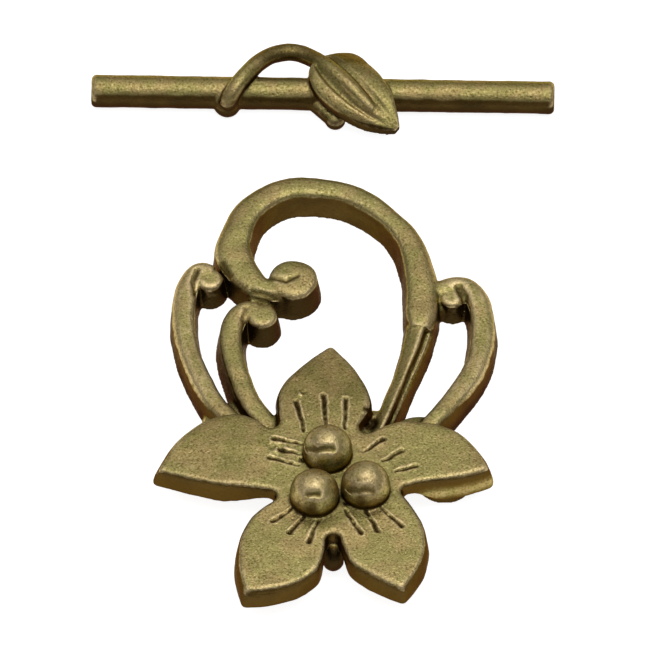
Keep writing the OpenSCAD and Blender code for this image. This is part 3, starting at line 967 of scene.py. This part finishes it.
# Columns: place along the rod as a share of vine_len, towards the back as a share of arch_reach,
# height as a share of bar_d, and thickness as a share of vine_d
VINE = [
    [-0.660, -0.42, 0.64, 0.84],
    [-0.640, -0.39, 0.80, 0.98],
    [-0.600, -0.22, 1.06, 1.00],
    [-0.541, 0.06, 1.15, 1.00],
    [-0.470, 0.42, 1.08, 1.00],
    [-0.385, 0.77, 0.94, 1.00],
    [-0.285, 0.98, 0.82, 1.00],
    [-0.185, 1.00, 0.80, 1.00],
    [-0.090, 0.82, 0.88, 1.00],
    [0.000, 0.50, 1.09, 1.00],
    [0.090, 0.15, 1.21, 1.00],
    [0.185, -0.20, 1.22, 0.92],
    [0.285, -0.54, 1.10, 0.74],
    [0.345, -0.72, 1.00, 0.50],
]
# The ball at the vine's start, and both ends of the stretch that comes out low in front
FOOT = [-0.650, -0.26, 0.44, 1.62]
TAIL = [
    [-0.05, -0.20, 0.46, 1.10],
    [0.085, -0.58, 0.28, 1.22],
]


def vine_spot(row):
    return np.array([row[0] * vine_len, row[1] * arch_reach, row[2] * bar_d])


def ball(middle, d):
    profile = []
    for k in range(13):
        turn = math.radians(-90 + 15 * k)
        profile.append((max(d / 2 * math.cos(turn), 0.005), d / 2 * math.sin(turn)))
    return turned(profile, middle, 24)


def tube(route, widths, sides=20):
    rings = []
    for at, way, d in zip(route, headings(route), widths):
        side = np.cross(way, [0, 0, 1])
        side /= np.linalg.norm(side)
        up = np.cross(side, way)
        ring = []
        for k in range(sides):
            turn = 2 * math.pi * k / sides
            ring.append(at + d / 2 * (side * math.cos(turn) + up * math.sin(turn)))
        rings.append(ring)
    return skin(rings)


vine_rows = curve_through(VINE)
bar_parts.append(tube(np.array([vine_spot(r) for r in vine_rows]), vine_rows[:, 3] * vine_d))
bar_parts.append(ball(vine_spot(FOOT), FOOT[3] * vine_d))
tail_ends = np.array([vine_spot(row) for row in TAIL])
tail_route = np.array([tail_ends[0] + (tail_ends[1] - tail_ends[0]) * k / 6 for k in range(7)])
bar_parts.append(tube(tail_route, [TAIL[0][3] * vine_d] * 7))
bar_parts.append(ball(tail_ends[1], TAIL[1][3] * vine_d))

# Leaf of the bar half. It lies bent over the rod with the vine as its midrib, and two grooves
# beside the midrib. It is cast with the rod.
leaf_len = 8.4
leaf_w = 4.7
leaf_t = 0.95
leaf_crown = 1.10
leaf_turn = -44
leaf_lift = 0.90
leaf_bend = 0.095
leaf_base = [0.0, 0.54]
# The section's grooves lie within this share of the way to the edge, and they run out between
# these two shares of leaf_len
groove_reach = 0.7
groove_fade = (0.66, 0.86)
# Columns: place as a share of leaf_len, left edge, right edge and midrib as shares of leaf_w,
# and share of the thickness
LEAF = [
    [-0.08, 0.10, -0.06, 0.00, 0.80],
    [-0.04, 0.44, -0.24, -0.01, 0.90],
    [0.02, 0.59, -0.36, -0.04, 0.95],
    [0.12, 0.61, -0.47, -0.08, 1.00],
    [0.25, 0.54, -0.52, -0.11, 1.00],
    [0.38, 0.50, -0.51, -0.13, 1.00],
    [0.50, 0.44, -0.46, -0.13, 1.00],
    [0.62, 0.37, -0.39, -0.11, 0.96],
    [0.74, 0.26, -0.29, -0.08, 0.86],
    [0.84, 0.15, -0.17, -0.04, 0.72],
    [0.92, 0.05, -0.05, 0.00, 0.60],
]
# Section from the right edge over the midrib to the left edge: share of the way from the midrib
# to the edge, and height above the leaf's back as a share of leaf_t
LEAF_SECTION = [
    [-1.00, 0.00],
    [-1.00, 0.50],
    [-0.97, 0.72],
    [-0.90, 0.86],
    [-0.75, 0.98],
    [-0.60, 1.04],
    [-0.50, 0.98],
    [-0.42, 0.80],
    [-0.34, 0.84],
    [-0.20, 1.06],
    [0.00, 1.10],
    [0.18, 1.00],
    [0.28, 0.80],
    [0.36, 0.88],
    [0.46, 1.04],
    [0.65, 1.00],
    [0.85, 0.88],
    [0.96, 0.74],
    [1.00, 0.50],
    [1.00, 0.00],
]


def leaf():
    out = along(leaf_turn)
    across = np.array([-out[1], out[0]])
    foot = np.array([leaf_base[0] * vine_len, leaf_base[1] * arch_reach])
    rings = []
    for place, left, right, rib, thick in curve_through(LEAF):
        ring = []
        for share, rise in LEAF_SECTION:
            side = left if share > 0 else right
            if abs(share) < groove_reach:
                rise += (1 - rise) * eased(place, *groove_fade)
            q = foot + out * place * leaf_len + across * (rib + (side - rib) * abs(share)) * leaf_w
            crown = leaf_lift * bar_d + leaf_crown * leaf_t - leaf_bend * q[1] ** 2
            ring.append([*q, crown - thick * (leaf_crown - rise) * leaf_t])
        rings.append(ring)
    return skin(rings)


bar_parts.append(leaf())

# The bar half's casting. Rod, vine and leaf come out of the mould as one piece of zinc alloy
# and run into each other. It lies loose behind the ring half, turned a little on the table.
bar_voxel = 0.07
bar = Metal(bar_parts, bar_voxel)
bar.soften(3)
bar.fill(10)
bar.soften(1)
BAR_BUMPS = [(1.1, 0.03), (0.4, 0.010)]
for bump_size, bump_height in BAR_BUMPS:
    bar.uneven(bump_size, bump_height)
turn = math.radians(-bar_turn)
spin = np.array([[math.cos(turn), -math.sin(turn)], [math.sin(turn), math.cos(turn)]])
bar.points[:, :2] = bar.points[:, :2] @ spin.T + bar_centre


# Stain with painted shade of the bar where nothing is lit or rubbed, the painted shade that its
# underside adds, what the rubbed tops keep, and what the arch keeps besides
bar_stain_and_shade = 0.84
under_shade = 0.16
top_stain = 0.22
arch_stain = 0.20


def bar_wear_and_shade(normals, points):
    """Painted shade with the stain: the underside and the front are darker, and the back is lighter
    further down.
    """
    # painted shade: the lower front and the underside are darker than the tops
    shaded_front = eased(-normals[:, 1], 0.0, 0.3) * (1 - eased(points[:, 2], 1.9, 2.35))
    lit_and_rubbed = eased(normals[:, 2], 0.05 + 0.33 * shaded_front, 0.70 + 0.18 * shaded_front)
    stain_and_shade = bar_stain_and_shade - bar_stain_and_shade * lit_and_rubbed
    stain_and_shade += under_shade * (1 - eased(normals[:, 2], -0.10, 0.40))
    arch = eased(points[:, 1], bar_centre[1] + 1.2, bar_centre[1] + 2.0)
    least_dark = top_stain + arch_stain * arch
    return np.maximum(stain_and_shade, least_dark), eased(points[:, 2], 0.3, 1.0) * eased(normals[:, 2], 0.0, 0.3)


show(bar.finished("bar_casting", bar_wear_and_shade), "bar_casting", "toggle_bar")

# The white table that the clasp lies on. It is a sheet of matt paper, and it glows so that it
# comes out as white as in the photograph.
table_size = 8.0
table_glow = 0.90


def white_table():
    mesh = bpy.data.meshes.new("table")
    half = table_size / 2
    corners = [(-half, -half, 0), (half, -half, 0), (half, half, 0), (-half, half, 0)]
    mesh.from_pydata(corners, [], [(0, 1, 2, 3)])
    paper = bpy.data.materials.new("white_paper")
    paper.use_nodes = True
    shader = paper.node_tree.nodes["Principled BSDF"]
    shader.inputs["Base Color"].default_value = (0.50, 0.50, 0.50, 1)
    shader.inputs["Roughness"].default_value = 0.9
    shader.inputs["Emission Color"].default_value = (1, 1, 1, 1)
    shader.inputs["Emission Strength"].default_value = table_glow
    mesh.materials.append(paper)
    table = bpy.data.objects.new("table", mesh)
    table.location.z = -0.00001
    bpy.context.scene.collection.objects.link(table)


white_table()

# Light of a small photo tent: one soft box nearly overhead for the bright rims, a pale roof, and
# walls that are pale only near the table.


def soft_box(name, place, size, power, aim=(0.0, 0.0, 0.0)):
    data = bpy.data.lights.new(name, "AREA")
    data.shape = "RECTANGLE"
    data.size, data.size_y = size
    data.energy = power
    lamp = bpy.data.objects.new(name, data)
    bpy.context.scene.collection.objects.link(lamp)
    lamp.location = place
    lamp.rotation_euler = (Vector(aim) - Vector(place)).to_track_quat("-Z", "Y").to_euler()


soft_box("top_box", (0.07, -0.02, 0.45), (0.26, 0.26), 0.34)


def tent():
    """A roof that is brightest overhead, and a pale strip of wall along the table."""
    world = bpy.data.worlds.new("tent")
    world.use_nodes = True
    tree = world.node_tree
    nodes, links = tree.nodes, tree.links
    place = nodes.new("ShaderNodeTexCoord")
    split = nodes.new("ShaderNodeSeparateXYZ")
    links.new(place.outputs["Generated"], split.inputs[0])
    weighted = []
    for axis, weight in (("Y", 0.10), ("Z", 0.995)):
        part = nodes.new("ShaderNodeMath")
        part.operation = "MULTIPLY"
        part.inputs[1].default_value = weight
        links.new(split.outputs[axis], part.inputs[0])
        weighted.append(part.outputs[0])
    total = nodes.new("ShaderNodeMath")
    links.new(weighted[0], total.inputs[0])
    links.new(weighted[1], total.inputs[1])
    roof = nodes.new("ShaderNodeMapRange")
    links.new(total.outputs[0], roof.inputs["Value"])
    horizon = nodes.new("ShaderNodeMapRange")
    links.new(split.outputs["Z"], horizon.inputs["Value"])
    for ramp, values in ((roof, (0.45, 0.95, 0.12, 1.13)), (horizon, (0.04, 0.20, 0.70, 0.0))):
        for key, value in zip(("From Min", "From Max", "To Min", "To Max"), values):
            ramp.inputs[key].default_value = value
    glow = nodes.new("ShaderNodeMath")
    glow.operation = "MAXIMUM"
    links.new(roof.outputs[0], glow.inputs[0])
    links.new(horizon.outputs[0], glow.inputs[1])
    links.new(glow.outputs[0], nodes["Background"].inputs["Strength"])
    nodes["Background"].inputs["Color"].default_value = (0.98, 0.99, 1.0, 1)
    bpy.context.scene.world = world


tent()
bpy.context.scene.view_settings.view_transform = "Standard"

# Camera of the photograph, far off with a long lens. It looks down at 52 degrees, an angle that
# was chosen for likely shapes, because the photograph doesn't fix it.
camera_far = 2.0
camera_up = math.radians(52)
view_width = 0.04742
aim = Vector((0.00015, 0.00004, 0.0018))
camera_data = bpy.data.cameras.new("camera")
camera_data.lens = camera_data.sensor_width * camera_far / view_width
camera = bpy.data.objects.new("camera", camera_data)
bpy.context.scene.collection.objects.link(camera)
camera.location = aim + camera_far * Vector((0, -math.cos(camera_up), math.sin(camera_up)))
camera.rotation_euler = (aim - camera.location).to_track_quat("-Z", "Y").to_euler()
bpy.context.scene.camera = camera
